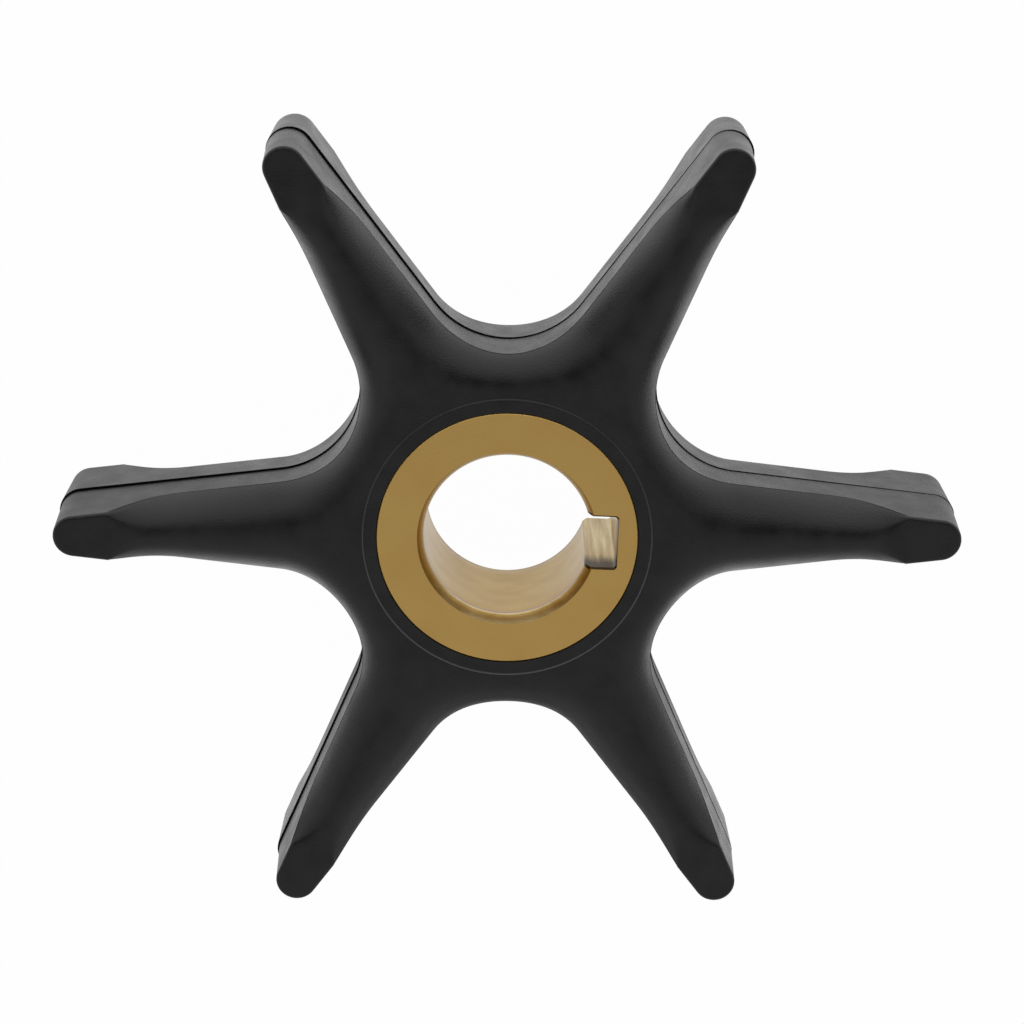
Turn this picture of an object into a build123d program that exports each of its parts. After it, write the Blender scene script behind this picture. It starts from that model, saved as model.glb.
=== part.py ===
"""Six-vane pump impeller: a black rubber star moulded round a keyed brass bush.

The part lies flat. The origin is the middle of the lower face, +Z is the bore axis and +X runs along
a vane. All sizes are in millimetres and angles in degrees.

The rubber was moulded in two halves that meet on a parting plane at mid height. Each half is a star
prism with drafted walls. Its flanks and valleys are relieved from a line on the wall up to a soft
ridge along the middle of the vane, and only the pad at each tip and the hub keep the full thickness.
"""

import os
from math import cos, pi, radians, sin, sqrt, tan

from build123d import *

# Bore, bush and hub, each wall outside the last
BORE_RADIUS = 5.51
BUSH_WALL = 3.11
HUB_WALL = 3.64

# Star in plan, at the parting plane
VANE_COUNT = 6
TIP_RADIUS = 30.0
TIP_ROUND = 1.6
FLANK_ANGLE = 6.7

# Section of the moulding, where the front half is a step smaller than the back and turned against it
THICKNESS = 10.5
DRAFT_ANGLE = 1.5
PARTING_STEP = 0.06
MOULD_TURN = 0.08

# Relief of the flanks and valleys, with its depths below the face
FLANK_RELIEF = 2.6
VALLEY_RELIEF = 1.75
VALLEY_REACH = 2.1
RELIEF_TILT = 76.0
LEAD_SHARE = 0.57
RIDGE_SHARE = 0.47
RIDGE_DROP = 0.05
RIDGE_INTO_HUB = 0.33
HUB_TILT = 8.0

# Pad at each tip, where the relief climbs to the face on the radius of its cutter
PAD_LENGTH = 4.0
PAD_POINT = 3.8
PAD_POWER = 4
RIDGE_INTO_PAD = 0.67
PAD_TILT = 12.0
CUTTER_RADIUS = 5.0
OVERRUN = 0.4
FLANK_STATIONS = 10
STATION_POWER = 1.6
VALLEY_STATIONS = 6
STATIONS_PAST_VALLEY = 2

# Flash lip round the bush, on the front face
LIP_OFFSET = 0.86
LIP_WIDTH = 0.16
LIP_HEIGHT = 0.06

# Bore and keyway of the bush
LEAD_IN_DEPTH = 0.9
LEAD_IN_WIDTH = 0.4
EDGE_BREAK = 0.1
KEYWAY_WIDTH = 3.4
KEYWAY_DEPTH = 1.7
KEYWAY_TURN = -2.2

# Worked out from the sizes above
HALF = THICKNESS / 2
BUSH_RADIUS = BORE_RADIUS + BUSH_WALL
VALLEY_RADIUS = BUSH_RADIUS + HUB_WALL
PITCH = 360 / VANE_COUNT
ALPHA = radians(FLANK_ANGLE)
BETA = pi / VANE_COUNT
TIP_CENTRE = TIP_RADIUS - TIP_ROUND
PAD_END = TIP_RADIUS - PAD_LENGTH
CLIMB_LENGTH = sqrt(CUTTER_RADIUS**2 - (CUTTER_RADIUS - FLANK_RELIEF) ** 2)
WEDGE_CORNER = (2 * TIP_RADIUS * cos(BETA), 2 * TIP_RADIUS * sin(BETA))


def flank_half_width(x):
    """Half width of a vane at the parting plane, at a distance x along the vane."""
    return TIP_ROUND / cos(ALPHA) + (TIP_CENTRE - x) * tan(ALPHA)


# Neighbouring flanks would cross on the line between two vanes, and the valley arc rounds that corner
CROSSING = flank_half_width(0) / (tan(BETA) + tan(ALPHA)) / cos(BETA)
VALLEY_CENTRE = (VALLEY_RADIUS - CROSSING * sin(ALPHA + BETA)) / (1 - sin(ALPHA + BETA))
VALLEY_ROUND = VALLEY_CENTRE - VALLEY_RADIUS
VALLEY_X = VALLEY_CENTRE * cos(BETA)
VALLEY_Y = VALLEY_CENTRE * sin(BETA)
VALLEY_LENGTH = VALLEY_ROUND * (pi / 2 - ALPHA - BETA)
FLANK_END = VALLEY_X - VALLEY_ROUND * sin(ALPHA)
FLANK_LENGTH = (PAD_END - FLANK_END) / cos(ALPHA)


def star_face(inset):
    """The whole star in plan, drawn in all round by the inset."""
    tip_round = TIP_ROUND - inset
    valley_round = VALLEY_ROUND + inset
    flank_normal = pi / 2 - ALPHA

    def on_tip(angle):
        return (TIP_CENTRE + tip_round * cos(angle), tip_round * sin(angle))

    def on_valley(angle):
        return (VALLEY_X - valley_round * cos(angle), VALLEY_Y - valley_round * sin(angle))

    tip = ThreePointArc(on_tip(-flank_normal), on_tip(0), on_tip(flank_normal))
    flank = Line(on_tip(flank_normal), on_valley(flank_normal))
    valley = ThreePointArc(on_valley(flank_normal), on_valley(BETA), on_valley(2 * BETA - flank_normal))
    next_flank = Rot(0, 0, PITCH) * flank.mirror(Plane.XZ)
    sector = (tip, flank, valley, next_flank)
    return make_face([Rot(0, 0, k * PITCH) * edge for k in range(VANE_COUNT) for edge in sector])


def clamp(t):
    """Keeps a share between 0 and 1."""
    return min(max(t, 0.0), 1.0)


def smooth(t):
    """Rises from 0 to 1 with level ends."""
    t = clamp(t)
    return t * t * (3 - 2 * t)


def wall_place(s):
    """Plan point on the wall at a distance s from the pad, and the level direction into the rubber."""
    past_flank = max(s - FLANK_LENGTH, 0)
    angle = pi / 2 + ALPHA + past_flank / VALLEY_ROUND
    inward = (cos(angle), -sin(angle))
    if past_flank > 0:
        return (VALLEY_X + VALLEY_ROUND * inward[0], VALLEY_Y + VALLEY_ROUND * inward[1]), inward
    x = PAD_END - s * cos(ALPHA)
    return (x, flank_half_width(x)), inward


def relief_section(foot, inward, wall, reach, top, end_tilt):
    """Closed outline of the relief cutter at one station along the wall.

    The foot is the plan point on the wall, inward the level direction into the rubber, wall the
    height where the relief leaves the wall, reach its level length, top its height there and end_tilt
    the slope it still has there. The curve starts a little outside the wall, on its first tangent.
    """
    lead = LEAD_SHARE * (top - wall)
    trail = RIDGE_SHARE * reach
    start_tilt, end_tilt = radians(RELIEF_TILT), radians(end_tilt)

    def place(along, height):
        return (foot[0] + inward[0] * along, foot[1] + inward[1] * along, height)

    outside = -OVERRUN / tan(start_tilt)
    curve = Bezier(
        place(outside, wall - OVERRUN),
        place(lead * cos(start_tilt), wall + lead * sin(start_tilt)),
        place(reach - trail * cos(end_tilt), top - trail * sin(end_tilt)),
        place(reach, top),
    )
    clear = HALF + OVERRUN
    corners = [place(reach, top), place(reach + OVERRUN, top), place(reach + OVERRUN, clear)]
    corners += [place(outside, clear), place(outside, wall - OVERRUN)]
    return Wire([curve] + [Line(a, b) for a, b in zip(corners, corners[1:])])


def relief_station(s, inset):
    """The relief's section at a distance s along the wall, from the pad's end towards the valley."""
    into_pad = clamp(1 - s / PAD_POINT)
    into_valley = clamp((s - FLANK_LENGTH) / VALLEY_LENGTH)
    to_pad = smooth(into_pad / RIDGE_INTO_PAD)
    to_hub = smooth(into_valley / RIDGE_INTO_HUB)
    climb = CUTTER_RADIUS - sqrt(CUTTER_RADIUS**2 - max(CLIMB_LENGTH - s, 0) ** 2)
    wall = HALF - FLANK_RELIEF + climb + (FLANK_RELIEF - VALLEY_RELIEF) * smooth(into_valley)
    top = max(HALF - RIDGE_DROP + 2 * RIDGE_DROP * (to_pad + to_hub), wall + RIDGE_DROP)
    foot, inward = wall_place(s)
    drawn_in = inset + wall * tan(radians(DRAFT_ANGLE))
    to_ridge = flank_half_width(max(foot[0], FLANK_END)) / cos(ALPHA) - drawn_in
    foot = (foot[0] + drawn_in * inward[0], foot[1] + drawn_in * inward[1])
    reach = to_ridge * (1 - into_pad**PAD_POWER) + (VALLEY_REACH - to_ridge) * smooth(into_valley)
    return relief_section(foot, inward, wall, reach, top, PAD_TILT * to_pad + HUB_TILT * to_hub)


def relief_cutter(inset):
    """The cutter for one side of a vane and half a valley, with its stations closest at the pad."""
    places = [-OVERRUN / 2]
    places += [FLANK_LENGTH * (k / FLANK_STATIONS) ** STATION_POWER for k in range(1, FLANK_STATIONS)]
    stations = range(VALLEY_STATIONS + STATIONS_PAST_VALLEY)
    places += [FLANK_LENGTH + VALLEY_LENGTH * k / VALLEY_STATIONS for k in stations]
    return Solid.make_loft([relief_station(s, inset) for s in places])


def moulded_half(inset):
    """One mould half of the rubber, on the parting plane and drawn in all round by the inset."""
    star = extrude(star_face(inset), HALF, taper=DRAFT_ANGLE)
    wedge = extrude(make_face(Polyline((0, 0), (2 * TIP_RADIUS, 0), WEDGE_CORNER, close=True)), HALF)
    side = (star & wedge) - relief_cutter(inset)
    vane = side + side.mirror(Plane.XZ)
    vanes = [Rot(0, 0, k * PITCH) * vane for k in range(VANE_COUNT)]
    return vanes[0].fuse(*vanes[1:]).clean()


def rubber_vane_body():
    """Both mould halves in one piece, with the hole that the bush fills and the lip round it."""
    front = Rot(0, 0, MOULD_TURN / 2) * moulded_half(PARTING_STEP)
    back = Rot(0, 0, -MOULD_TURN / 2) * moulded_half(0).mirror(Plane.XY)
    lip_radius = BUSH_RADIUS + LIP_OFFSET
    lip = Plane.XZ * Polygon(
        (lip_radius - LIP_WIDTH / 2, HALF),
        (lip_radius + LIP_WIDTH / 2, HALF),
        (lip_radius, HALF + LIP_HEIGHT),
        align=None,
    )
    body = front + back - Cylinder(BUSH_RADIUS, 2 * THICKNESS)
    body += revolve(lip, Axis.Z)
    return Pos(0, 0, HALF) * body


def keyed_brass_bush():
    """The bush: a turned ring with a lead-in at each end of its bore and one keyway right through."""
    outer, bore = BUSH_RADIUS, BORE_RADIUS
    mouth = BORE_RADIUS + LEAD_IN_WIDTH
    section = Plane.XZ * Polygon(
        (mouth, 0),
        (outer - EDGE_BREAK, 0),
        (outer, EDGE_BREAK),
        (outer, THICKNESS - EDGE_BREAK),
        (outer - EDGE_BREAK, THICKNESS),
        (mouth, THICKNESS),
        (bore, THICKNESS - LEAD_IN_DEPTH),
        (bore, LEAD_IN_DEPTH),
        align=None,
    )
    ring = revolve(section, Axis.Z)
    reach = BORE_RADIUS + KEYWAY_DEPTH
    keyway = Box(reach, KEYWAY_WIDTH, 2 * THICKNESS, align=(Align.MIN, Align.CENTER, Align.CENTER))
    return ring - Rot(0, 0, KEYWAY_TURN) * keyway


if __name__ == "__main__":
    os.makedirs("parts", exist_ok=True)
    export_step(rubber_vane_body(), "parts/rubber_vane_body.step")
    export_step(keyed_brass_bush(), "parts/keyed_brass_bush.step")
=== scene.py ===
"""A six-vane pump impeller: a black rubber star moulded round a keyed brass bush, on a white table.

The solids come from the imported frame. This script models both pieces again as fine meshes in the same
place, gives them their finishes, and sets up the table, the light and the camera. Sizes are in
millimetres and angles in degrees until a mesh is done, and then it is scaled to metres.
"""

from __future__ import annotations

import logging
from dataclasses import dataclass, field
from enum import Enum
from math import asin, atan2, cos, hypot, pi, radians, sin, sqrt, tan
from typing import Any, Callable

import bmesh
import bpy
from mathutils import Matrix, Vector

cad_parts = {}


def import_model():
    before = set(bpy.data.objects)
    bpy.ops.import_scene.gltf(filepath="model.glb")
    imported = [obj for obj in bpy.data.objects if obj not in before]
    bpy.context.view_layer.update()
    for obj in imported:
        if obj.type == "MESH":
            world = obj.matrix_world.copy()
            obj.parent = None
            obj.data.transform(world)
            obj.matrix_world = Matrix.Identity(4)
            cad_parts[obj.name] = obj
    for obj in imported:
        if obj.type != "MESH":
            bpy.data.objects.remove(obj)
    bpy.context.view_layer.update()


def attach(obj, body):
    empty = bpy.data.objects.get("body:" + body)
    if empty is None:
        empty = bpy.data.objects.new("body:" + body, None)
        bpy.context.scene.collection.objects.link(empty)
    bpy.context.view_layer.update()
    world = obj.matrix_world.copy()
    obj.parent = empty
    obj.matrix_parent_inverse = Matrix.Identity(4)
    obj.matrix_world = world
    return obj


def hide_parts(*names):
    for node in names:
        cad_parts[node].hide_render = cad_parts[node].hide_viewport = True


MM = 0.001

# Sizes that more than one piece takes, in millimetres
THICKNESS = 10.5
BUSH_RADIUS = 8.62
LIP_RADIUS = 9.48

# Points nearer than this are one point, in millimetres
MERGE = 0.0008
# A face whose normal stands this upright is level and is shaded flat
LEVEL = 0.99999
# Halvings that find a place on a curve to better than a micrometre
HALVINGS = 26

log = logging.getLogger("impeller")


def clamp(t: float) -> float:
    """Keeps a share between 0 and 1."""
    return min(max(t, 0.0), 1.0)


def smooth(t: float) -> float:
    """Rises from 0 to 1 with level ends."""
    t = clamp(t)
    return t * t * (3 - 2 * t)


def soft_min(a: float, b: float, blend: float) -> float:
    """The smaller of two heights, with the corner between them rounded.

    Args:
        a: One height.
        b: The other height.
        blend: The difference in height over which the corner is rounded.

    Returns:
        The rounded smaller height.
    """
    share = clamp(0.5 + 0.5 * (b - a) / blend)
    return b + (a - b) * share - blend * share * (1 - share)


def hex_to_linear(code: str) -> tuple[float, float, float, float]:
    """Turns an sRGB hex code into linear colour with an alpha of 1, by the sRGB curve."""
    shares = [int(code[i : i + 2], 16) / 255 for i in (1, 3, 5)]
    linear = [s / 12.92 if s <= 0.04045 else ((s + 0.055) / 1.055) ** 2.4 for s in shares]
    return (linear[0], linear[1], linear[2], 1.0)


def add_node(
    tree: bpy.types.NodeTree, kind: str, inputs: dict[Any, Any] | None = None, **settings: Any
) -> Any:
    """Adds a node with its settings, values and links.

    Args:
        tree: The node tree it goes into.
        kind: The node's type name.
        inputs: Socket name or number to a value, or to the output socket that feeds it.
        **settings: Properties of the node itself.

    Returns:
        The new node.
    """
    node = tree.nodes.new(kind)
    for name, value in settings.items():
        setattr(node, name, value)
    for key, value in (inputs or {}).items():
        if isinstance(value, bpy.types.NodeSocket):
            tree.links.new(value, node.inputs[key])
        else:
            node.inputs[key].default_value = value
    return node


class Face(Enum):
    """The surfaces of the bush, each with a finish of its own."""

    TURNED = 0
    LEAD_IN = 1
    BORED = 2
    BROACHED = 3


class Side(Enum):
    """The two mould halves of the rubber."""

    FRONT = 1
    BACK = -1


@dataclass(frozen=True)
class StarPlan:
    """The star's outline at the parting plane, seen from above.

    The wall is followed from the nose of a vane round its tip, along its flank and round half of the
    valley beside it. A place on it is its distance from the nose.
    """

    vane_count: int = 6
    tip_radius: float = 30.0
    tip_round: float = 1.6
    flank_angle: float = 6.7
    valley_radius: float = 12.26
    pad_length: float = 4.1
    hole_radius: float = BUSH_RADIUS

    @property
    def alpha(self) -> float:
        """Angle of the flank to the vane's centre line, in radians."""
        return radians(self.flank_angle)

    @property
    def beta(self) -> float:
        """Half the angle between two vanes, in radians."""
        return pi / self.vane_count

    @property
    def tip_centre(self) -> float:
        """Distance of the tip arc's centre from the bore axis."""
        return self.tip_radius - self.tip_round

    def half_width(self, x: float) -> float:
        """Half width of a vane at a distance x along it."""
        return self.tip_round / cos(self.alpha) + (self.tip_centre - x) * tan(self.alpha)

    @property
    def valley_centre(self) -> float:
        """Distance of the valley arc's centre from the bore axis."""
        crossing = self.half_width(0) / (tan(self.beta) + tan(self.alpha)) / cos(self.beta)
        lean = sin(self.alpha + self.beta)
        return (self.valley_radius - crossing * lean) / (1 - lean)

    @property
    def valley_round(self) -> float:
        """Radius of the valley arc."""
        return self.valley_centre - self.valley_radius

    @property
    def valley_middle(self) -> Vector:
        """Centre of the valley arc in plan."""
        return Vector((self.valley_centre * cos(self.beta), self.valley_centre * sin(self.beta)))

    @property
    def tip_end(self) -> float:
        """Place where the tip arc meets the flank."""
        return self.tip_round * (pi / 2 - self.alpha)

    @property
    def flank_start_x(self) -> float:
        """Distance along the vane where the tip arc meets the flank."""
        return self.tip_centre + self.tip_round * sin(self.alpha)

    @property
    def flank_end_x(self) -> float:
        """Distance along the vane where the flank meets the valley arc."""
        return self.valley_middle.x - self.valley_round * sin(self.alpha)

    @property
    def flank_end(self) -> float:
        """Place where the flank meets the valley arc."""
        return self.tip_end + (self.flank_start_x - self.flank_end_x) / cos(self.alpha)

    @property
    def pad_end(self) -> float:
        """Place where the pad ends and the relief starts to fall."""
        pad_x = self.tip_radius - self.pad_length
        return self.tip_end + (self.flank_start_x - pad_x) / cos(self.alpha)

    @property
    def valley_end(self) -> float:
        """Place at the middle of the valley."""
        return self.flank_end + self.valley_round * (pi / 2 - self.alpha - self.beta)

    @property
    def hub_corner(self) -> float:
        """Place on the valley arc whose inward line meets the vane's centre line at the hub's hole."""
        toward = self.valley_middle - Vector((self.hole_radius, 0))
        turned = pi - atan2(toward.y, toward.x) - pi / 2 - self.alpha
        return self.flank_end + self.valley_round * turned

    def at(self, place: float) -> tuple[Vector, Vector, float]:
        """Where a place on the wall is.

        Args:
            place: Distance from the nose along the wall.

        Returns:
            The plan point, the level direction into the rubber, and the length of that line as far as
            the vane's centre line or the hub's hole.
        """
        if place <= self.tip_end:
            angle = place / self.tip_round
            out = Vector((cos(angle), sin(angle)))
            return Vector((self.tip_centre, 0)) + out * self.tip_round, -out, self.tip_round
        if place <= self.flank_end:
            x = self.flank_start_x - (place - self.tip_end) * cos(self.alpha)
            width = self.half_width(x)
            return Vector((x, width)), Vector((-sin(self.alpha), -cos(self.alpha))), width / cos(self.alpha)
        angle = pi / 2 + self.alpha + (place - self.flank_end) / self.valley_round
        inward = Vector((cos(angle), -sin(angle)))
        centre = self.valley_middle
        reach = -centre.y / inward.y
        if (centre + inward * reach).x < self.hole_radius:
            along = -centre.dot(inward)
            reach = along - sqrt(along**2 - centre.length_squared + self.hole_radius**2)
        return centre + inward * self.valley_round, inward, reach - self.valley_round


@dataclass(frozen=True)
class Relief:
    """The relieved form of flanks and valleys, from an edge on the wall up to a soft ridge.

    Depths are measured down from the face.
    """

    flank_depth: float = 2.6
    valley_depth: float = 1.75
    run_in: float = 0.4
    valley_reach: float = 2.1
    start_tilt: float = 76.0
    lead_share: float = 0.57
    ridge_share: float = 0.47
    ridge_drop: float = 0.05
    ridge_into_hub: float = 0.33
    hub_tilt: float = 8.0
    pad_point: float = 3.8
    pad_power: float = 4.0
    ridge_into_pad: float = 0.67
    pad_tilt: float = 12.0
    cutter_radius: float = 5.0
    face_blend: float = 0.16
    rim_round: float = 0.25
    edge_blend: float = 1.6
    corner_lead: float = 0.35

    def edge_height(self, plan: StarPlan, half: float, place: float) -> float:
        """Height of the relief's edge on the wall, which runs up into the rounded rim of the pad.

        Args:
            plan: The star in plan.
            half: Height of the face above the parting plane.
            place: Distance from the nose along the wall.

        Returns:
            The height above the parting plane.
        """
        climb_length = sqrt(self.cutter_radius**2 - (self.cutter_radius - self.flank_depth) ** 2)
        along = min(max(climb_length - (place - plan.pad_end), 0.0), self.cutter_radius)
        climb = self.cutter_radius - sqrt(self.cutter_radius**2 - along**2)
        into_valley = smooth((place - plan.flank_end) / (plan.valley_end - plan.flank_end))
        raised = half - self.flank_depth + climb + (self.flank_depth - self.valley_depth) * into_valley
        return soft_min(raised, half - self.rim_round, self.edge_blend)

    def profile(self, plan: StarPlan, half: float, place: float, start: float) -> Callable[[float], float]:
        """The height over one line from the wall inwards.

        Args:
            plan: The star in plan.
            half: Height of the face above the parting plane.
            place: Distance from the nose along the wall.
            start: Level distance from the outline to the drafted wall.

        Returns:
            A function of the level distance from the outline that gives the height.
        """
        past_pad = place - plan.pad_end + self.corner_lead
        into_pad = clamp(1 - past_pad / (self.pad_point + self.corner_lead))
        into_valley = clamp((place - plan.flank_end) / (plan.valley_end - plan.flank_end))
        to_pad = smooth(into_pad / self.ridge_into_pad)
        to_hub = smooth(into_valley / self.ridge_into_hub)
        edge = self.edge_height(plan, half, place)
        top = max(half - self.ridge_drop + 2 * self.ridge_drop * (to_pad + to_hub), edge + self.ridge_drop)
        foot, _, _ = plan.at(place)
        to_ridge = plan.half_width(max(foot.x, plan.flank_end_x)) / cos(plan.alpha) - start
        reach = to_ridge * (1 - into_pad**self.pad_power)
        reach += (self.valley_reach - to_ridge) * smooth(into_valley)
        end_tilt = radians(self.pad_tilt * to_pad + self.hub_tilt * to_hub)
        lead = self.lead_share * (top - edge)
        trail = self.ridge_share * reach
        tilt = radians(self.start_tilt)
        along = (-self.run_in / tan(tilt), lead * cos(tilt), reach - trail * cos(end_tilt), reach)
        heights = (edge - self.run_in, edge + lead * sin(tilt), top - trail * sin(end_tilt), top)

        def bezier(values: tuple[float, ...], t: float) -> float:
            """A cubic through its four control values."""
            a, b, c, d = values
            s = 1 - t
            return a * s**3 + 3 * b * s * s * t + 3 * c * s * t * t + d * t**3

        def height(distance: float) -> float:
            """Height at a level distance from the outline."""
            inward = distance - start
            if inward >= reach:
                raised = top + (inward - reach) * tan(end_tilt)
            else:
                low, high = 0.0, 1.0
                for _ in range(HALVINGS):
                    middle = (low + high) / 2
                    low, high = (middle, high) if bezier(along, middle) < inward else (low, middle)
                raised = bezier(heights, high)
            level = soft_min(raised, half, self.face_blend)
            if inward >= self.rim_round:
                return level
            rim = half - self.rim_round + sqrt(max(self.rim_round**2 - (self.rim_round - inward) ** 2, 0.0))
            return min(level, rim)

        return height


@dataclass
class RubberStar:
    """The moulded rubber: two mould halves that meet on a parting plane with a small mismatch."""

    plan: StarPlan = field(default_factory=StarPlan)
    relief: Relief = field(default_factory=Relief)
    thickness: float = THICKNESS
    draft_angle: float = 1.5
    parting_step: float = 0.08
    mould_turn: float = 0.12
    lip_radius: float = LIP_RADIUS
    lip_width: float = 0.16
    lip_height: float = 0.06
    lip_flat: float = 0.12
    lip_steps: int = 180
    tip_steps: int = 10
    pad_steps: int = 7
    climb_steps: int = 34
    flank_steps: int = 16
    root_steps: int = 14
    valley_steps: int = 10
    wall_rows: int = 9
    top_rows: int = 24
    row_power: float = 1.7
    climb_ahead: float = 0.5
    climb_length: float = 5.4
    sharp_angle: float = 32.0

    @property
    def half(self) -> float:
        """Height of each face from the parting plane."""
        return self.thickness / 2

    def places(self) -> list[float]:
        """Places of the mesh's columns along the wall, closest together where the pad ends."""
        climb = self.plan.pad_end - self.climb_ahead
        runs = [
            (self.plan.tip_end, self.tip_steps),
            (climb, self.pad_steps),
            (climb + self.climb_length, self.climb_steps),
            (self.plan.flank_end, self.flank_steps),
            (self.plan.hub_corner, self.root_steps),
            (self.plan.valley_end, self.valley_steps),
        ]
        found = [0.0]
        for stop, count in runs:
            start = found[-1]
            found += [start + (stop - start) * k / count for k in range(1, count)] + [stop]
        return found

    def column(self, place: float, inset: float) -> list[Vector]:
        """Points of one column, up the wall from the parting plane and then inwards over the top.

        Args:
            place: Distance from the nose along the wall.
            inset: How far this mould half is drawn in at the parting plane.

        Returns:
            The column's points in millimetres, with the parting plane at height 0.
        """
        foot, inward, length = self.plan.at(place)
        draft = tan(radians(self.draft_angle))
        edge = self.relief.edge_height(self.plan, self.half, place)
        start = inset + edge * draft
        height = self.relief.profile(self.plan, self.half, place, start)
        points = []
        for k in range(self.wall_rows):
            z = edge * (1 - cos(pi * k / self.wall_rows)) / 2
            flat = foot + inward * (inset + z * draft)
            points.append(Vector((flat.x, flat.y, z)))
        for k in range(self.top_rows + 1):
            distance = start + (length - start) * (k / self.top_rows) ** self.row_power
            flat = foot + inward * distance
            points.append(Vector((flat.x, flat.y, edge if k == 0 else height(distance))))
        return points

    def half_mesh(self, side: Side) -> bmesh.types.BMesh:
        """One mould half with all its vanes, from half a vane that is mirrored and turned.

        Args:
            side: Which mould half.

        Returns:
            The open shell of that half, with the parting plane at height 0.
        """
        inset = self.parting_step if side is Side.FRONT else 0.0
        columns = [self.column(place, inset) for place in self.places()]
        across, up = len(columns) - 1, len(columns[0]) - 1
        shell = bmesh.new()
        bmesh.ops.create_grid(shell, x_segments=across, y_segments=up, size=0.5)
        for vert in shell.verts:
            vert.co = columns[round((vert.co.x + 0.5) * across)][round((vert.co.y + 0.5) * up)]
        everything = shell.verts[:] + shell.edges[:] + shell.faces[:]
        bmesh.ops.mirror(shell, geom=everything, axis="Y", merge_dist=MERGE)
        everything = shell.verts[:] + shell.edges[:] + shell.faces[:]
        turns = self.plan.vane_count - 1
        bmesh.ops.spin(
            shell, geom=everything, cent=(0, 0, 0), axis=(0, 0, 1), steps=turns,
            angle=turns * 2 * self.plan.beta, use_duplicate=True,
        )
        bmesh.ops.remove_doubles(shell, verts=shell.verts, dist=MERGE)
        if side is Side.BACK:
            bmesh.ops.scale(shell, vec=(1, 1, -1), verts=shell.verts)
        turn = Matrix.Rotation(radians(side.value * self.mould_turn / 2), 3, "Z")
        bmesh.ops.rotate(shell, cent=(0, 0, 0), matrix=turn, verts=shell.verts)
        return shell

    def add_lip(self, shell: bmesh.types.BMesh) -> None:
        """Adds the thin flash lip that stands round the bush on the front face.

        Args:
            shell: The mesh of the whole body, with the parting plane at height 0.
        """
        sunk = self.half - self.lip_height
        crest = self.half + self.lip_height
        rise = [(-0.5, sunk), (-0.5, self.half), (-self.lip_flat, crest)]
        outline = rise + [(-across, z) for across, z in reversed(rise)]
        points = [(self.lip_radius + across * self.lip_width, 0, z) for across, z in outline]
        verts = [shell.verts.new(point) for point in points]
        edges = [shell.edges.new(pair) for pair in zip(verts, verts[1:] + verts[:1])]
        bmesh.ops.spin(
            shell, geom=verts + edges, cent=(0, 0, 0), axis=(0, 0, 1), steps=self.lip_steps,
            angle=2 * pi, use_merge=True,
        )

    def build(self, finish: bpy.types.Material) -> bpy.types.Object:
        """Builds the rubber as one closed piece.

        Args:
            finish: The rubber's material.

        Returns:
            The finished object.
        """
        body = bmesh.new()
        for side in Side:
            half = self.half_mesh(side)
            part = bpy.data.meshes.new("mould_half")
            half.to_mesh(part)
            half.free()
            body.from_mesh(part)
            bpy.data.meshes.remove(part)
        open_edges = [edge for edge in body.edges if edge.is_boundary]
        level = [edge for edge in open_edges if max(abs(v.co.z) for v in edge.verts) < MERGE]
        hole = [edge for edge in open_edges if edge not in set(level)]
        bmesh.ops.bridge_loops(body, edges=level)
        bmesh.ops.bridge_loops(body, edges=hole)
        self.add_lip(body)
        bmesh.ops.recalc_face_normals(body, faces=body.faces)
        bmesh.ops.translate(body, vec=(0, 0, self.half), verts=body.verts)
        piece = finish_piece(body, "rubber_vane_moulding", [finish], self.sharp_angle)
        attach(piece, "root")
        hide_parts("rubber_vane_body")
        return piece


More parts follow.
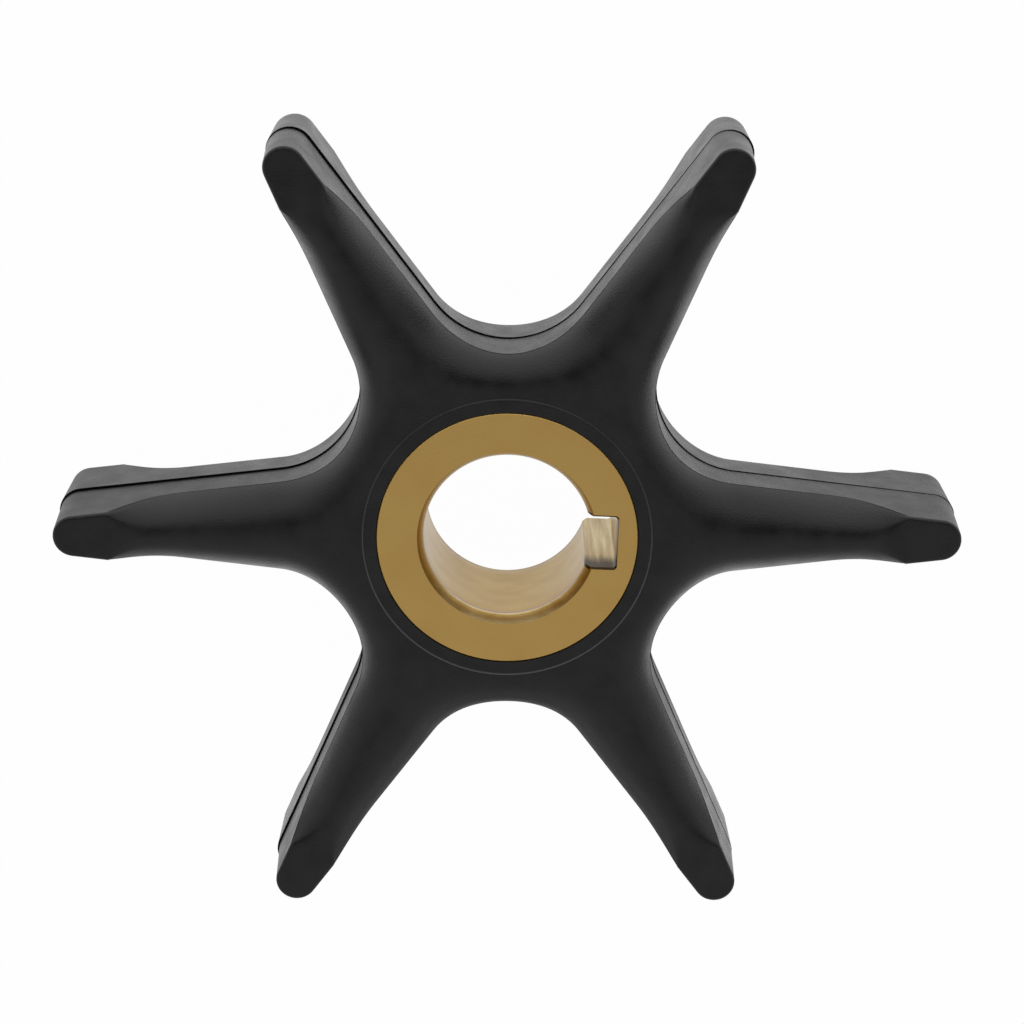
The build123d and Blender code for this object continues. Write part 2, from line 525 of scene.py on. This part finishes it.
@dataclass
class BrassBush:
    """The turned brass bush, with a lead-in at each end of its bore and one keyway right through."""

    outer_radius: float = BUSH_RADIUS
    bore_radius: float = 5.51
    thickness: float = THICKNESS
    lead_in_depth: float = 0.9
    lead_in_width: float = 0.4
    lead_in_bell: float = 0.4
    edge_break: float = 0.1
    keyway_width: float = 3.5
    keyway_depth: float = 1.7
    keyway_turn: float = -1.9
    keyway_corner: float = 0.25
    keyway_break: float = 0.12
    arc_steps: int = 150
    side_steps: int = 6
    corner_steps: int = 4
    floor_steps: int = 8
    lead_in_rows: int = 6
    bore_rows: int = 8
    sharp_angle: float = 24.0

    def bore_outline(self, radius: float, wider: float) -> list[Vector]:
        """Plan of the bore with its keyway, as one closed loop of points.

        Args:
            radius: The bore's radius at this height.
            wider: How far the keyway is opened at this height by its broken edge.

        Returns:
            The points in order, with the same count for any radius.
        """
        side = self.keyway_width / 2 + wider
        reach = self.bore_radius + self.keyway_depth + wider / 2
        start = asin(side / radius)
        corner = self.keyway_corner
        mouth = radius * cos(start)
        inner, flat = reach - corner, side - corner
        angles = [start + 2 * (pi - start) * k / self.arc_steps for k in range(self.arc_steps + 1)]
        wall = [mouth + (inner - mouth) * k / self.side_steps for k in range(1, self.side_steps)]
        turns = [pi / 2 * k / self.corner_steps for k in range(self.corner_steps + 1)]
        rounded = [(x, side) for x in wall]
        rounded += [(inner + corner * sin(a), flat + corner * cos(a)) for a in turns]
        outline = [(radius * cos(a), radius * sin(a)) for a in angles]
        outline += [(x, -y) for x, y in rounded]
        outline += [(reach, flat * (2 * k / self.floor_steps - 1)) for k in range(1, self.floor_steps)]
        outline += reversed(rounded)
        return [Vector(place) for place in outline]

    def bore_levels(self) -> list[tuple[float, float]]:
        """Heights up the bore and the radius at each, with rounded lead-ins."""
        lead = []
        for k in range(self.lead_in_rows + 1):
            share = k / self.lead_in_rows
            bell = (1 - self.lead_in_bell) * (1 - share) + self.lead_in_bell * (1 - share) ** 2
            lead.append((self.lead_in_depth * share, self.bore_radius + self.lead_in_width * bell))
        span = self.thickness - 2 * self.lead_in_depth
        heights = [self.lead_in_depth + span * k / self.bore_rows for k in range(1, self.bore_rows)]
        wall = [(z, self.bore_radius) for z in heights]
        return lead + wall + [(self.thickness - z, radius) for z, radius in reversed(lead)]

    def build(self, finishes: dict[Face, bpy.types.Material]) -> bpy.types.Object:
        """Builds the bush from loops that are bridged one to the next.

        Args:
            finishes: The material of each kind of surface.

        Returns:
            The finished object.
        """
        bush = bmesh.new()

        def loop(points: list[Vector], z: float) -> list[bmesh.types.BMEdge]:
            """Adds one closed loop of edges at a height."""
            verts = [bush.verts.new((p.x, p.y, z)) for p in points]
            return [bush.edges.new(pair) for pair in zip(verts, verts[1:] + verts[:1])]

        inner = []
        for z, radius in self.bore_levels():
            from_end = min(z, self.thickness - z)
            inner.append(loop(self.bore_outline(radius, max(self.keyway_break - from_end, 0.0)), z))
        mouth = self.bore_outline(self.bore_radius + self.lead_in_width, self.keyway_break)
        outer = []
        break_in = self.edge_break
        for z, radius in (
            (self.thickness, self.outer_radius - break_in),
            (self.thickness - break_in, self.outer_radius),
            (break_in, self.outer_radius),
            (0.0, self.outer_radius - break_in),
        ):
            outer.append(loop([point.normalized() * radius for point in mouth], z))
        rings = inner + outer
        for low, high in zip(rings, rings[1:] + rings[:1]):
            made = bmesh.ops.bridge_loops(bush, edges=low + high)["faces"]
            in_bore = low in inner and high in inner
            for face in made:
                face.material_index = self.surface_of(face, in_bore).value
        turn = Matrix.Rotation(radians(self.keyway_turn), 3, "Z")
        bmesh.ops.rotate(bush, cent=(0, 0, 0), matrix=turn, verts=bush.verts)
        bmesh.ops.recalc_face_normals(bush, faces=bush.faces)
        materials = [finishes[face] for face in Face]
        piece = finish_piece(bush, "turned_keyed_bush", materials, self.sharp_angle)
        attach(piece, "root")
        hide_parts("keyed_brass_bush")
        return piece

    def surface_of(self, face: bmesh.types.BMFace, in_bore: bool) -> Face:
        """Which finish a face has, by its place in the bush."""
        if not in_bore:
            return Face.TURNED
        middle = face.calc_center_median()
        past_wall = middle.x > 0 and hypot(middle.x, middle.y) > self.bore_radius + self.lead_in_width
        beside = middle.x > 0 and 0 <= abs(middle.y) - self.keyway_width / 2 + MERGE < self.keyway_break
        if past_wall or beside:
            return Face.BROACHED
        from_end = min(middle.z, self.thickness - middle.z)
        return Face.LEAD_IN if from_end < self.lead_in_depth else Face.BORED


def finish_piece(
    shape: bmesh.types.BMesh, name: str, materials: list[bpy.types.Material], sharp_angle: float
) -> bpy.types.Object:
    """Turns a finished shape in millimetres into an object in metres.

    Args:
        shape: The shape, which is freed.
        name: The object's name.
        materials: Its materials in slot order.
        sharp_angle: Edges that turn by more than this many degrees stay crisp.

    Returns:
        The object, linked to the scene.
    """
    bmesh.ops.scale(shape, vec=(MM, MM, MM), verts=shape.verts)
    for face in shape.faces:
        face.smooth = abs(face.normal.z) < LEVEL
    for edge in shape.edges:
        if edge.is_manifold and edge.calc_face_angle() > radians(sharp_angle):
            edge.smooth = False
    mesh = bpy.data.meshes.new(name)
    shape.to_mesh(mesh)
    shape.free()
    for material in materials:
        mesh.materials.append(material)
    piece = bpy.data.objects.new(name, mesh)
    bpy.context.scene.collection.objects.link(piece)
    log.info("%s: %d faces", name, len(mesh.polygons))
    return piece


@dataclass(frozen=True)
class MouldedRubber:
    """Black nitrile rubber as it leaves a lightly blasted mould.

    To the eye it is nearly black, with a soft sheen over a fine grain and faint paler clouds of bloom. The
    crest of the flash lip carries a painted highlight and the seam between the mould halves a painted
    shade. The grain is drawn about twice as coarse as the real one to show.
    """

    colour: str = "#09090a"
    bloom_colour: str = "#1f1f20"
    # Pale grey of the painted highlight on the crest of the flash lip
    lip_highlight_colour: str = "#646467"
    roughness: float = 0.32
    bloom_roughness: float = 0.44
    grain_mm: float = 0.11
    grain_height_mm: float = 0.026
    cloud_mm: float = 1.6
    cloud_edges: tuple[float, float] = (0.32, 0.72)
    lip_radius_mm: float = LIP_RADIUS
    lip_half_width_mm: float = 0.07
    lip_paler_mm: tuple[float, float] = (-4.0, 7.0)
    lip_least: float = 0.1
    face_mm: float = THICKNESS
    shine: float = 0.5
    # Painted shade along the parting seam: a near-black colour and less shine
    seam_shade_colour: str = "#060606"
    seam_shade_shine: float = 0.18
    seam_inner_mm: float = 0.03
    seam_outer_mm: float = 0.13
    ior: float = 1.5

    def material(self) -> bpy.types.Material:
        """Builds the rubber's material."""
        made = bpy.data.materials.new("black_moulded_nitrile_rubber")
        made.use_nodes = True
        tree = made.node_tree
        shader = tree.nodes["Principled BSDF"]
        place = add_node(tree, "ShaderNodeTexCoord").outputs["Object"]
        cloud = add_node(
            tree, "ShaderNodeTexNoise", {"Vector": place, "Scale": 1 / (self.cloud_mm * MM), "Detail": 5.0}
        )
        low, high = self.cloud_edges
        bloom = add_node(
            tree, "ShaderNodeMapRange", {"Value": cloud.outputs["Fac"], "From Min": low, "From Max": high}
        )
        tone = add_node(
            tree,
            "ShaderNodeMix",
            {0: bloom.outputs[0], 6: hex_to_linear(self.colour), 7: hex_to_linear(self.bloom_colour)},
            data_type="RGBA",
        )
        # Painted highlight: the crest of the flash lip is mixed towards pale grey, most towards -Y
        lip_highlit = add_node(
            tree,
            "ShaderNodeMix",
            {0: self.painted_lip_highlight(tree, place), 6: tone.outputs[2], 7: hex_to_linear(self.lip_highlight_colour)},
            data_type="RGBA",
        )
        # Painted shade along the parting seam: darker colour and less shine there
        seam = self.painted_seam_shade(tree, place)
        shade = add_node(
            tree,
            "ShaderNodeMix",
            {0: seam, 6: lip_highlit.outputs[2], 7: hex_to_linear(self.seam_shade_colour)},
            data_type="RGBA",
        )
        tree.links.new(shade.outputs[2], shader.inputs["Base Color"])
        shine = add_node(
            tree, "ShaderNodeMapRange", {"Value": seam, "To Min": self.shine, "To Max": self.seam_shade_shine}
        )
        tree.links.new(shine.outputs[0], shader.inputs["Specular IOR Level"])
        sheen = add_node(
            tree,
            "ShaderNodeMapRange",
            {"Value": bloom.outputs[0], "To Min": self.roughness, "To Max": self.bloom_roughness},
        )
        tree.links.new(sheen.outputs[0], shader.inputs["Roughness"])
        grain = add_node(
            tree, "ShaderNodeTexNoise", {"Vector": place, "Scale": 1 / (self.grain_mm * MM), "Detail": 3.0}
        )
        bump = add_node(
            tree,
            "ShaderNodeBump",
            {"Height": grain.outputs["Fac"], "Distance": self.grain_height_mm * MM, "Strength": 1.0},
        )
        tree.links.new(bump.outputs["Normal"], shader.inputs["Normal"])
        shader.inputs["IOR"].default_value = self.ior
        return made

    def painted_seam_shade(self, tree: bpy.types.NodeTree, place: bpy.types.NodeSocket) -> bpy.types.NodeSocket:
        """How much painted shade lies along the seam between the mould halves, in the crease at the small
        step there.

        Args:
            tree: The material's node tree.
            place: The place on the surface.

        Returns:
            The share, from 0 off the seam to 1 on it.
        """
        axes = add_node(tree, "ShaderNodeSeparateXYZ", {"Vector": place}).outputs
        off = add_node(
            tree, "ShaderNodeMath", {0: axes["Z"], 1: self.face_mm / 2 * MM}, operation="SUBTRACT"
        )
        off = add_node(tree, "ShaderNodeMath", {0: off.outputs[0]}, operation="ABSOLUTE")
        return add_node(
            tree,
            "ShaderNodeMapRange",
            {
                "Value": off.outputs[0],
                "From Min": self.seam_inner_mm * MM,
                "From Max": self.seam_outer_mm * MM,
                "To Min": 1.0,
                "To Max": 0.0,
            },
        ).outputs[0]

    def painted_lip_highlight(self, tree: bpy.types.NodeTree, place: bpy.types.NodeSocket) -> bpy.types.NodeSocket:
        """How much painted highlight lies on the crest of the flash lip, strongest towards -Y.

        Args:
            tree: The material's node tree.
            place: The place on the surface.

        Returns:
            The share, from 0 off the lip to 1 on the paler part of its crest.
        """
        axes = add_node(tree, "ShaderNodeSeparateXYZ", {"Vector": place}).outputs
        level = add_node(tree, "ShaderNodeCombineXYZ", {"X": axes["X"], "Y": axes["Y"]})
        radius = add_node(tree, "ShaderNodeVectorMath", {0: level.outputs[0]}, operation="LENGTH")
        off = add_node(
            tree,
            "ShaderNodeMath",
            {0: radius.outputs["Value"], 1: self.lip_radius_mm * MM},
            operation="SUBTRACT",
        )
        off = add_node(tree, "ShaderNodeMath", {0: off.outputs[0]}, operation="ABSOLUTE")
        near = add_node(
            tree,
            "ShaderNodeMapRange",
            {
                "Value": off.outputs[0],
                "From Max": self.lip_half_width_mm * MM,
                "To Min": 1.0,
                "To Max": 0.0,
            },
        )
        raised = add_node(
            tree, "ShaderNodeMath", {0: axes["Z"], 1: self.face_mm * MM}, operation="GREATER_THAN"
        )
        # The painted highlight is strongest towards -Y and fades to its least towards +Y
        low, high = self.lip_paler_mm
        paler = add_node(
            tree,
            "ShaderNodeMapRange",
            {
                "Value": axes["Y"],
                "From Min": low * MM,
                "From Max": high * MM,
                "To Min": 1.0,
                "To Max": self.lip_least,
            },
        )
        share = near.outputs[0]
        for part in (raised, paler):
            share = add_node(
                tree, "ShaderNodeMath", {0: share, 1: part.outputs[0]}, operation="MULTIPLY"
            ).outputs[0]
        return share


@dataclass(frozen=True)
class Band:
    """A change of colour that grows along one axis of the piece, such as the painted shade in the lead-in
    and the greyer and darker tones towards the upper end of the bore.
    """

    axis: str
    start_mm: float
    full_mm: float
    colour: str
    share: float = 1.0
    uneven: float = 0.35


@dataclass(frozen=True)
class Brass:
    """Yellow brass: satin where it was faced in the lathe, brighter where a reamer or broach passed.

    To the eye it is a warm gold-brown with faint stains, and each tool leaves its own marks. The marks
    are drawn about twice as coarse as the real ones to show.
    """

    name: str
    colour: str
    stain_colour: str
    roughness: float
    grain_mm: float
    grain_height_mm: float
    stretch: tuple[float, float, float] = (1.0, 1.0, 1.0)
    stain_mm: float = 2.4
    stain_stretch: tuple[float, float, float] = (1.0, 1.0, 1.0)
    stain_edge: float = 0.3
    band: Band | None = None

    def material(self) -> bpy.types.Material:
        """Builds this finish of the brass."""
        made = bpy.data.materials.new(self.name)
        made.use_nodes = True
        tree = made.node_tree
        shader = tree.nodes["Principled BSDF"]
        place = add_node(tree, "ShaderNodeTexCoord").outputs["Object"]
        laid = add_node(tree, "ShaderNodeMapping", {"Vector": place, "Scale": self.stain_stretch})
        stain = add_node(
            tree,
            "ShaderNodeTexNoise",
            {"Vector": laid.outputs[0], "Scale": 1 / (self.stain_mm * MM), "Detail": 3.0},
        )
        share = add_node(
            tree,
            "ShaderNodeMapRange",
            {"Value": stain.outputs["Fac"], "From Min": self.stain_edge, "From Max": 1 - self.stain_edge},
        )
        tone = add_node(
            tree,
            "ShaderNodeMix",
            {0: share.outputs[0], 6: hex_to_linear(self.colour), 7: hex_to_linear(self.stain_colour)},
            data_type="RGBA",
        ).outputs[2]
        if self.band is not None:
            tone = self.banded(tree, place, tone, share.outputs[0], self.band)
        tree.links.new(tone, shader.inputs["Base Color"])
        drawn = add_node(tree, "ShaderNodeMapping", {"Vector": place, "Scale": self.stretch})
        grain = add_node(
            tree,
            "ShaderNodeTexNoise",
            {"Vector": drawn.outputs[0], "Scale": 1 / (self.grain_mm * MM), "Detail": 2.0},
        )
        bump = add_node(
            tree,
            "ShaderNodeBump",
            {"Height": grain.outputs["Fac"], "Distance": self.grain_height_mm * MM, "Strength": 1.0},
        )
        tree.links.new(bump.outputs["Normal"], shader.inputs["Normal"])
        shader.inputs["Metallic"].default_value = 1.0
        shader.inputs["Roughness"].default_value = self.roughness
        return made

    def banded(
        self,
        tree: bpy.types.NodeTree,
        place: bpy.types.NodeSocket,
        tone: bpy.types.NodeSocket,
        stain: bpy.types.NodeSocket,
        band: Band,
    ) -> bpy.types.NodeSocket:
        """Lays a band over the colour, broken up by the stains.

        Args:
            tree: The material's node tree.
            place: The place on the surface.
            tone: The colour under the band.
            stain: The share of stain, from 0 to 1.
            band: The band.

        Returns:
            The colour with the band.
        """
        axes = add_node(tree, "ShaderNodeSeparateXYZ", {"Vector": place}).outputs
        shift = abs(band.full_mm - band.start_mm) * MM * band.uneven
        uneven = add_node(
            tree,
            "ShaderNodeMath",
            {0: stain, 1: shift if band.full_mm > band.start_mm else -shift, 2: axes[band.axis]},
            operation="MULTIPLY_ADD",
        )
        grown = add_node(
            tree,
            "ShaderNodeMapRange",
            {
                "Value": uneven.outputs[0],
                "From Min": band.start_mm * MM,
                "From Max": band.full_mm * MM,
                "To Max": band.share,
            },
            interpolation_type="SMOOTHSTEP",
        )
        return add_node(
            tree,
            "ShaderNodeMix",
            {0: grown.outputs[0], 6: tone, 7: hex_to_linear(band.colour)},
            data_type="RGBA",
        ).outputs[2]


@dataclass(frozen=True)
class Viewpoint:
    """The camera, as fitted to the tips, the bush and the bore in the photograph."""

    focal_px: float = 3082.8
    frame_px: float = 1024.0
    sensor_mm: float = 36.0
    distance: float = 206.8
    tilt: float = 18.287
    yaw: float = 0.062
    turn: float = -0.377
    across: float = -0.319
    up: float = -0.134
    plane_height: float = THICKNESS / 2
    nearest: float = 0.01
    farthest: float = 10.0

    def build(self) -> bpy.types.Object:
        """Makes the scene's camera."""
        seen = Matrix.Identity(3)
        for angle, axis in ((self.tilt, "X"), (self.yaw, "Y"), (self.turn, "Z")):
            seen = seen @ Matrix.Rotation(radians(angle), 3, axis)
        place = seen.transposed() @ Vector((-self.across, -self.up, self.distance))
        place.z += self.plane_height
        data = bpy.data.cameras.new("viewpoint")
        data.sensor_width = self.sensor_mm
        data.lens = self.focal_px / self.frame_px * self.sensor_mm
        data.clip_start, data.clip_end = self.nearest, self.farthest
        camera = bpy.data.objects.new("viewpoint", data)
        camera.matrix_world = Matrix.Translation(place * MM) @ seen.transposed().to_4x4()
        bpy.context.scene.collection.objects.link(camera)
        bpy.context.scene.camera = camera
        return camera


@dataclass(frozen=True)
class WhiteTable:
    """A white table under a soft dome, lit from low down all round and most from the near side.

    The dome is dark overhead, where the camera looks from, and that dark part is longer across than
    it is deep. In the metal and the rubber the table shows white on the near side and in a band
    beside the vanes, and it falls off on the far side and further out.
    """

    half_size: float = 1.5
    drop_mm: float = 0.03
    white: float = 0.9
    shown_white: float = 0.985
    near_glow: float = 1.13
    far_glow: float = 0.24
    glow_depth_mm: tuple[float, float] = (-34.0, 20.0)
    glow_side_mm: tuple[float, float] = (9.0, 15.5)
    glow_fade_mm: tuple[float, float] = (18.0, 27.0)
    glow_faded: float = 0.25
    dark_tilt: float = 18.0
    dark_angle: float = 42.0
    dark_share: float = 0.0
    dark_across: float = 2.2
    far_light: float = 0.51
    near_light: float = 0.55

    def floor(self) -> None:
        """Lays the table top, which renders white but keeps the shadow."""
        plane = bmesh.new()
        bmesh.ops.create_grid(plane, x_segments=1, y_segments=1, size=self.half_size)
        bmesh.ops.translate(plane, vec=(0, 0, -self.drop_mm * MM), verts=plane.verts)
        mesh = bpy.data.meshes.new("table_top")
        plane.to_mesh(mesh)
        plane.free()
        made = bpy.data.materials.new("white_table")
        made.use_nodes = True
        tree = made.node_tree
        tree.nodes.clear()
        path = add_node(tree, "ShaderNodeLightPath").outputs
        mirrored = add_node(
            tree,
            "ShaderNodeMath",
            {0: path["Is Glossy Ray"], 1: path["Is Transmission Ray"]},
            operation="MAXIMUM",
        )
        place = add_node(tree, "ShaderNodeTexCoord").outputs["Object"]
        axes = add_node(tree, "ShaderNodeSeparateXYZ", {"Vector": place})
        aside = add_node(tree, "ShaderNodeMath", {0: axes.outputs["X"]}, operation="ABSOLUTE")
        near, beside, fade = (
            add_node(
                tree,
                "ShaderNodeMapRange",
                {
                    "Value": along.outputs[socket],
                    "From Min": start * MM,
                    "From Max": end * MM,
                    "To Min": first,
                    "To Max": last,
                },
                interpolation_type="SMOOTHSTEP",
            ).outputs[0]
            for along, socket, (start, end), first, last in (
                (axes, "Y", self.glow_depth_mm, 0.0, 1.0),
                (aside, 0, self.glow_side_mm, 0.0, 1.0),
                (aside, 0, self.glow_fade_mm, 1.0, self.glow_faded),
            )
        )
        band = add_node(tree, "ShaderNodeMath", {0: beside, 1: fade}, operation="MULTIPLY")
        brighter = add_node(tree, "ShaderNodeMath", {0: near, 1: band.outputs[0]}, operation="MAXIMUM")
        # Painted pool of light: in reflections the table glows bright on the near side and in a band beside
        # the vanes, and dim on the far side and further out
        pool = add_node(
            tree,
            "ShaderNodeMapRange",
            {"Value": brighter.outputs[0], "To Min": self.far_glow, "To Max": self.near_glow},
        )
        seen = add_node(
            tree, "ShaderNodeMath", {0: path["Is Camera Ray"], 1: self.shown_white}, operation="MULTIPLY"
        )
        share = add_node(
            tree, "ShaderNodeMath", {0: mirrored.outputs[0], 1: seen.outputs[0]}, operation="MAXIMUM"
        )
        strength = add_node(
            tree,
            "ShaderNodeMix",
            {0: mirrored.outputs[0], 2: 1.0, 3: pool.outputs[0]},
            data_type="FLOAT",
        )
        lit = add_node(tree, "ShaderNodeBsdfDiffuse", {"Color": (self.white, self.white, self.white, 1.0)})
        glow = add_node(tree, "ShaderNodeEmission", {"Strength": strength.outputs[0]})
        mixed = add_node(
            tree, "ShaderNodeMixShader", {0: share.outputs[0], 1: lit.outputs[0], 2: glow.outputs[0]}
        )
        add_node(tree, "ShaderNodeOutputMaterial", {"Surface": mixed.outputs[0]})
        mesh.materials.append(made)
        table = bpy.data.objects.new("table_top", mesh)
        bpy.context.scene.collection.objects.link(table)

    def dome(self) -> None:
        """Lights the scene with the dome."""
        world = bpy.data.worlds.new("soft_dome")
        world.use_nodes = True
        tree = world.node_tree
        tree.nodes.clear()
        toward = add_node(tree, "ShaderNodeTexCoord").outputs["Generated"]
        tilt = radians(self.dark_tilt)
        squeeze = (1 / self.dark_across, 1.0, 1.0)
        narrow = add_node(tree, "ShaderNodeVectorMath", {0: toward, 1: squeeze}, operation="MULTIPLY")
        narrow = add_node(tree, "ShaderNodeVectorMath", {0: narrow.outputs[0]}, operation="NORMALIZE")
        along = add_node(
            tree,
            "ShaderNodeVectorMath",
            {0: narrow.outputs[0], 1: (0.0, sin(tilt), cos(tilt))},
            operation="DOT_PRODUCT",
        )
        angle = add_node(tree, "ShaderNodeMath", {0: along.outputs["Value"]}, operation="ARCCOSINE")
        ramp = add_node(
            tree,
            "ShaderNodeMapRange",
            {"Value": angle.outputs[0], "From Max": radians(self.dark_angle), "To Min": self.dark_share},
        )
        axes = add_node(tree, "ShaderNodeSeparateXYZ", {"Vector": toward})
        near = add_node(tree, "ShaderNodeMath", {0: axes.outputs["Y"], 1: 0.0}, operation="MAXIMUM")
        near = add_node(tree, "ShaderNodeMath", {0: near.outputs[0], 1: 2.0}, operation="POWER")
        level = add_node(
            tree,
            "ShaderNodeMath",
            {0: near.outputs[0], 1: self.near_light, 2: self.far_light},
            operation="MULTIPLY_ADD",
        )
        light = add_node(
            tree, "ShaderNodeMath", {0: level.outputs[0], 1: ramp.outputs[0]}, operation="MULTIPLY"
        )
        sky = add_node(tree, "ShaderNodeBackground", {"Strength": light.outputs[0]})
        sky.inputs["Color"].default_value = (1.0, 1.0, 1.0, 1.0)
        add_node(tree, "ShaderNodeOutputWorld", {"Surface": sky.outputs[0]})
        bpy.context.scene.world = world


BRASS_FINISHES = {
    # Faced in the lathe: an even, warm gold-brown with faint clouds
    Face.TURNED: Brass(
        name="lathe_faced_satin_brass",
        colour="#e6be70",
        stain_colour="#e1b66a",
        roughness=0.36,
        grain_mm=0.12,
        grain_height_mm=0.006,
        stain_mm=3.4,
    ),
    # Chamfered in the lathe: pale on the far side of the bore, with painted shade darker round the rest
    # where it would mirror the dark overhead
    Face.LEAD_IN: Brass(
        name="lead_in_satin_brass",
        colour="#fff3c4",
        stain_colour="#f2dc9c",
        roughness=0.34,
        grain_mm=0.12,
        grain_height_mm=0.004,
        stain_mm=1.2,
        band=Band("Y", -5.3, -2.2, "#b4924a", 0.9),
    ),
    # Reamed: bright, with soft stains a little wider than they are high and a greyer upper rim
    Face.BORED: Brass(
        name="reamed_bright_brass",
        colour="#c9aa6c",
        stain_colour="#b29054",
        roughness=0.24,
        grain_mm=0.10,
        grain_height_mm=0.002,
        stain_mm=2.6,
        stain_stretch=(1.0, 1.0, 1.5),
        stain_edge=0.2,
        band=Band("Z", 9.0, 9.7, "#a8979a", 0.7),
    ),
    # Broached: scored along the bore, and darker brown towards the upper end
    Face.BROACHED: Brass(
        name="broached_brass",
        colour="#e6d2a0",
        stain_colour="#a08454",
        roughness=0.28,
        grain_mm=0.14,
        grain_height_mm=0.008,
        stretch=(1.0, 1.0, 0.05),
        stain_mm=0.42,
        stain_stretch=(1.0, 1.0, 0.07),
        stain_edge=0.26,
        band=Band("Z", 8.0, 10.0, "#2e2016", 0.95),
    ),
}


def main() -> None:
    """Builds the impeller's pieces in order, then the table, the light and the camera."""
    logging.basicConfig(level=logging.INFO, format="%(name)s: %(message)s")
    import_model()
    pieces = [
        RubberStar().build(MouldedRubber().material()),
        BrassBush().build({face: finish.material() for face, finish in BRASS_FINISHES.items()}),
    ]
    for piece in pieces:
        log.info("built %s", piece.name)
    table = WhiteTable()
    table.floor()
    table.dome()
    Viewpoint().build()
    bpy.context.scene.view_settings.view_transform = "Standard"
    bpy.context.view_layer.update()


if __name__ == "__main__":
    main()
